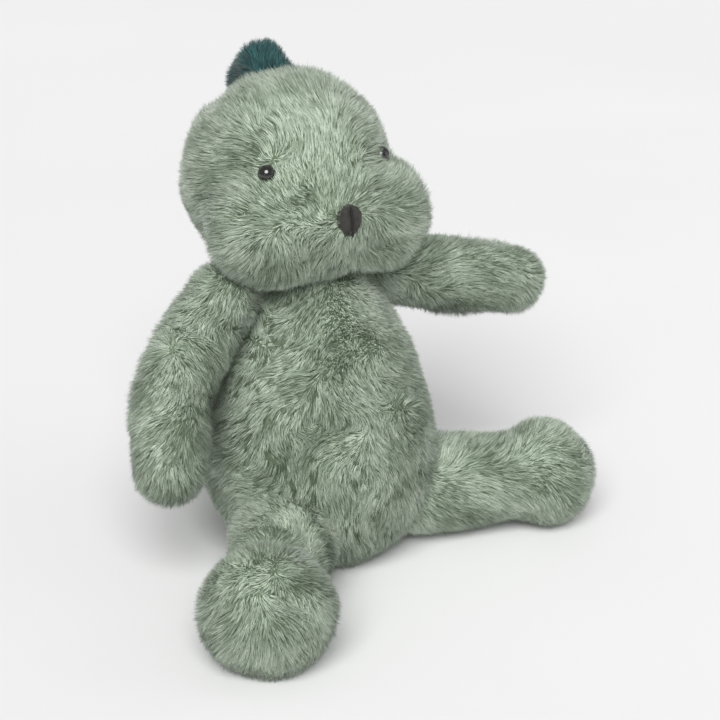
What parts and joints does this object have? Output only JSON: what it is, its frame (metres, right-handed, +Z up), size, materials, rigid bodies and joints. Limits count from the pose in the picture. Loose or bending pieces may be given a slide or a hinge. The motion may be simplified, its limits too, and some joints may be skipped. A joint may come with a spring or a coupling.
{
  "type": "stuffed dinosaur",
  "caption": "Seated plush dinosaur with a wide round muzzle, stub arms and splayed legs, in long sage pile with dark teal spikes down its head and back.",
  "frame": {"origin": "on the floor under the middle of the flat seat", "axes": "+Z up, -Y the way the toy faces, +X towards its left arm"},
  "size_m": [0.2611, 0.2173, 0.2505],
  "materials": {
    "sage_plush": "long brushed pile",
    "teal_plush": "brushed pile",
    "nose_velour": "short matt nap",
    "nose_thread": "matt thread",
    "eye_plastic": "gloss",
    "washer_plastic": "moulded",
    "fibre_fill": "loose fibre",
    "bead_bag_cotton": "woven cotton"
  },
  "bodies": {
    "torso": {"torso_skin": "sage_plush", "torso_stuffing": "fibre_fill", "seat_bead_bag": "bead_bag_cotton", "upper_back_spike": "teal_plush", "middle_back_spike": "teal_plush", "lower_back_spike": "teal_plush"},
    "neck": {"neck_stuffing": "fibre_fill"},
    "head": {"head_skin": "sage_plush", "head_stuffing": "fibre_fill", "eye_left": "eye_plastic", "eye_right": "eye_plastic", "eye_washer_left": "washer_plastic", "eye_washer_right": "washer_plastic", "nose_patch": "nose_velour", "nose_stitching": "nose_thread", "crown_spike": "teal_plush", "nape_spike": "teal_plush"},
    "arm_left": {"arm_left_skin": "sage_plush", "arm_left_stuffing": "fibre_fill"},
    "arm_right": {"arm_right_skin": "sage_plush", "arm_right_stuffing": "fibre_fill"},
    "leg_left": {"leg_left_skin": "sage_plush", "sole_left": "sage_plush", "leg_left_stuffing": "fibre_fill"},
    "leg_right": {"leg_right_skin": "sage_plush", "sole_right": "sage_plush", "leg_right_stuffing": "fibre_fill"},
    "tail": {"tail_skin": "sage_plush", "tail_stuffing": "fibre_fill"}
  },
  "joints": [
    {"name": "head_turn", "type": "hinge", "parent": "torso", "child": "neck", "pos_m": [0, 0.018, 0.146], "axis": [0, 0, 1], "range_deg": [-16, 30]},
    {"name": "head_nod", "type": "hinge", "parent": "neck", "child": "head", "pos_m": [0, 0.018, 0.146], "axis": [0.9816, -0.1908, 0], "range_deg": [-12, 4]},
    {"name": "arm_left_raise", "type": "hinge", "parent": "torso", "child": "arm_left", "pos_m": [0.0455, 0.017, 0.135], "axis": [0, -1, 0], "range_deg": [-16, 20]},
    {"name": "arm_right_raise", "type": "hinge", "parent": "torso", "child": "arm_right", "pos_m": [-0.0455, 0.017, 0.135], "axis": [0, 1, 0], "range_deg": [0, 65]},
    {"name": "leg_left_lift", "type": "hinge", "parent": "torso", "child": "leg_left", "pos_m": [0.045, -0.024, 0.027], "axis": [-0.4772, -0.8788, 0], "range_deg": [-12, 14]},
    {"name": "leg_right_lift", "type": "hinge", "parent": "torso", "child": "leg_right", "pos_m": [-0.045, -0.024, 0.027], "axis": [-0.7009, 0.7133, 0], "range_deg": [-12, 14]},
    {"name": "tail_wag", "type": "hinge", "parent": "torso", "child": "tail", "pos_m": [0, 0.051, 0.024], "axis": [0, 0, 1], "range_deg": [-15, 15]}
  ]
}
